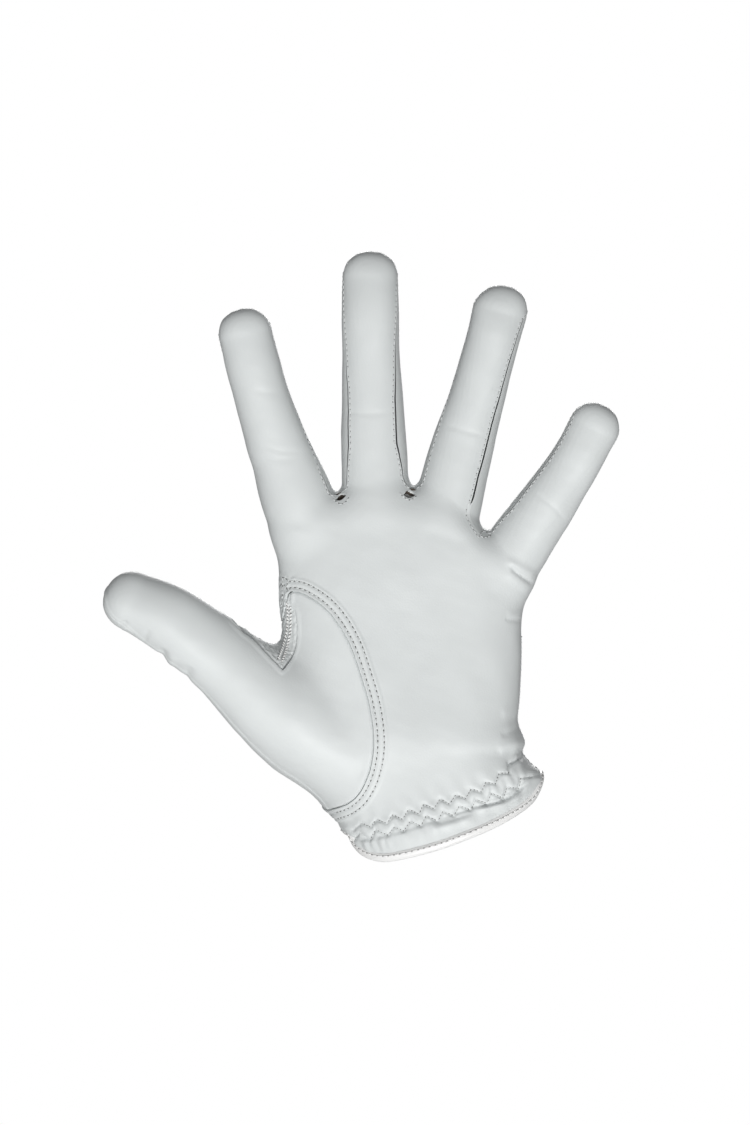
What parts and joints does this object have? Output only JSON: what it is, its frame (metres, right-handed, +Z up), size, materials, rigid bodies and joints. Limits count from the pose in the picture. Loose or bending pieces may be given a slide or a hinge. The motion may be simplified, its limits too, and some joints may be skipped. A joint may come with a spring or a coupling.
{
  "type": "golf glove",
  "caption": "Left-hand golf glove in thin white leather, worn open: jointed fingers and thumb, elastic wrist, back slit and hook-and-loop tab.",
  "frame": {"origin": "middle of the cuff's mouth", "axes": "+Z up along the middle finger, +X towards the little-finger side, the palm faces -Y"},
  "size_m": [0.1779, 0.0496, 0.2124],
  "materials": {
    "leather": "smooth soft satin",
    "side_leather": "smooth soft satin",
    "binding": "slightly glossy",
    "elastic": "woven matte",
    "loop": "brushed loops",
    "hook": "fine hooks",
    "badge": "satin"
  },
  "bodies": {
    "hand": {"back_panel": "leather", "cuff_binding": "binding", "loop_pad": "loop", "palm_panel": "leather", "slit_binding": "binding", "tab_anchor": "leather", "thumb_base_back": "leather", "thumb_base_front": "leather", "thumb_quirk": "side_leather", "web_index_middle": "side_leather", "web_middle_ring": "side_leather", "web_ring_little": "side_leather", "wrist_elastic": "elastic"},
    "index_proximal": {"index_proximal_back": "leather", "index_proximal_front": "leather", "index_proximal_little_side_strip": "side_leather"},
    "index_middle": {"index_middle_back": "leather", "index_middle_front": "leather", "index_middle_little_side_strip": "side_leather"},
    "index_tip": {"index_tip_back": "leather", "index_tip_front": "leather"},
    "middle_proximal": {"middle_proximal_back": "leather", "middle_proximal_front": "leather", "middle_proximal_little_side_strip": "side_leather", "middle_proximal_thumb_side_strip": "side_leather"},
    "middle_middle": {"middle_middle_back": "leather", "middle_middle_front": "leather", "middle_middle_little_side_strip": "side_leather", "middle_middle_thumb_side_strip": "side_leather"},
    "middle_tip": {"middle_tip_back": "leather", "middle_tip_front": "leather"},
    "ring_proximal": {"ring_proximal_back": "leather", "ring_proximal_front": "leather", "ring_proximal_little_side_strip": "side_leather", "ring_proximal_thumb_side_strip": "side_leather"},
    "ring_middle": {"ring_middle_back": "leather", "ring_middle_front": "leather", "ring_middle_little_side_strip": "side_leather", "ring_middle_thumb_side_strip": "side_leather"},
    "ring_tip": {"ring_tip_back": "leather", "ring_tip_front": "leather"},
    "little_proximal": {"little_proximal_back": "leather", "little_proximal_front": "leather", "little_proximal_thumb_side_strip": "side_leather"},
    "little_middle": {"little_middle_back": "leather", "little_middle_front": "leather", "little_middle_thumb_side_strip": "side_leather"},
    "little_tip": {"little_tip_back": "leather", "little_tip_front": "leather"},
    "thumb_proximal": {"thumb_proximal_back": "leather", "thumb_proximal_front": "leather"},
    "thumb_tip": {"thumb_tip_back": "leather", "thumb_tip_front": "leather"},
    "tab": {"closure_tab": "leather", "hook_pad": "hook", "tab_badge": "badge"}
  },
  "joints": [
    {"name": "index_knuckle", "type": "hinge", "parent": "hand", "child": "index_proximal", "pos_m": [-0.05067, -0.00393, 0.10992], "axis": [0.9894, 0, 0.1452], "range_deg": [-5, 75]},
    {"name": "index_middle_joint", "type": "hinge", "parent": "index_proximal", "child": "index_middle", "pos_m": [-0.05862, -0.00581, 0.13041], "axis": [0.945, -0.0043, 0.3269], "range_deg": [0, 80]},
    {"name": "index_tip_joint", "type": "hinge", "parent": "index_middle", "child": "index_tip", "pos_m": [-0.06553, -0.00787, 0.15356], "axis": [0.9696, 0.0045, 0.2448], "range_deg": [0, 40]},
    {"name": "middle_knuckle", "type": "hinge", "parent": "hand", "child": "middle_proximal", "pos_m": [-0.02464, -0.00291, 0.11427], "axis": [1, 0, 0.0099], "range_deg": [-5, 75]},
    {"name": "middle_middle_joint", "type": "hinge", "parent": "middle_proximal", "child": "middle_middle", "pos_m": [-0.02561, -0.00439, 0.14046], "axis": [0.9996, -0.0006, 0.0287], "range_deg": [0, 80]},
    {"name": "middle_tip_joint", "type": "hinge", "parent": "middle_middle", "child": "middle_tip", "pos_m": [-0.02617, -0.00598, 0.1688], "axis": [0.9999, 0.0007, 0.0103], "range_deg": [0, 40]},
    {"name": "ring_knuckle", "type": "hinge", "parent": "hand", "child": "ring_proximal", "pos_m": [-0.00006, -0.00332, 0.11158], "axis": [0.9921, 0, -0.1254], "range_deg": [-5, 75]},
    {"name": "ring_middle_joint", "type": "hinge", "parent": "ring_proximal", "child": "ring_middle", "pos_m": [0.007, -0.00492, 0.13437], "axis": [0.9618, 0.0021, -0.2737], "range_deg": [0, 80]},
    {"name": "ring_tip_joint", "type": "hinge", "parent": "ring_middle", "child": "ring_tip", "pos_m": [0.01345, -0.00667, 0.15958], "axis": [0.975, -0.0023, -0.2221], "range_deg": [0, 40]},
    {"name": "little_knuckle", "type": "hinge", "parent": "hand", "child": "little_proximal", "pos_m": [0.02497, -0.00517, 0.09453], "axis": [0.9634, 0, -0.268], "range_deg": [-5, 75]},
    {"name": "little_middle_joint", "type": "hinge", "parent": "little_proximal", "child": "little_middle", "pos_m": [0.03569, -0.00738, 0.11037], "axis": [0.8421, 0.0035, -0.5393], "range_deg": [0, 80]},
    {"name": "little_tip_joint", "type": "hinge", "parent": "little_middle", "child": "little_tip", "pos_m": [0.04577, -0.00952, 0.12723], "axis": [0.8737, -0.0045, -0.4864], "range_deg": [0, 40]},
    {"name": "thumb_knuckle", "type": "hinge", "parent": "hand", "child": "thumb_proximal", "pos_m": [-0.06651, -0.01057, 0.0484], "axis": [0.5397, 0.5953, 0.5953], "range_deg": [0, 35]},
    {"name": "thumb_tip_joint", "type": "hinge", "parent": "thumb_proximal", "child": "thumb_tip", "pos_m": [-0.08839, -0.01349, 0.06609], "axis": [0.3757, 0.5655, 0.7342], "range_deg": [0, 50]},
    {"name": "tab_hinge", "type": "hinge", "parent": "hand", "child": "tab", "pos_m": [0.00851, 0.01893, 0.02628], "axis": [0.2468, 0.0964, -0.9643], "range_deg": [0, 140]}
  ],
  "couplings": [
    {"joint": "index_tip_joint", "follows": "index_middle_joint", "ratio": 0.5},
    {"joint": "middle_tip_joint", "follows": "middle_middle_joint", "ratio": 0.5},
    {"joint": "ring_tip_joint", "follows": "ring_middle_joint", "ratio": 0.5},
    {"joint": "little_tip_joint", "follows": "little_middle_joint", "ratio": 0.5}
  ]
}
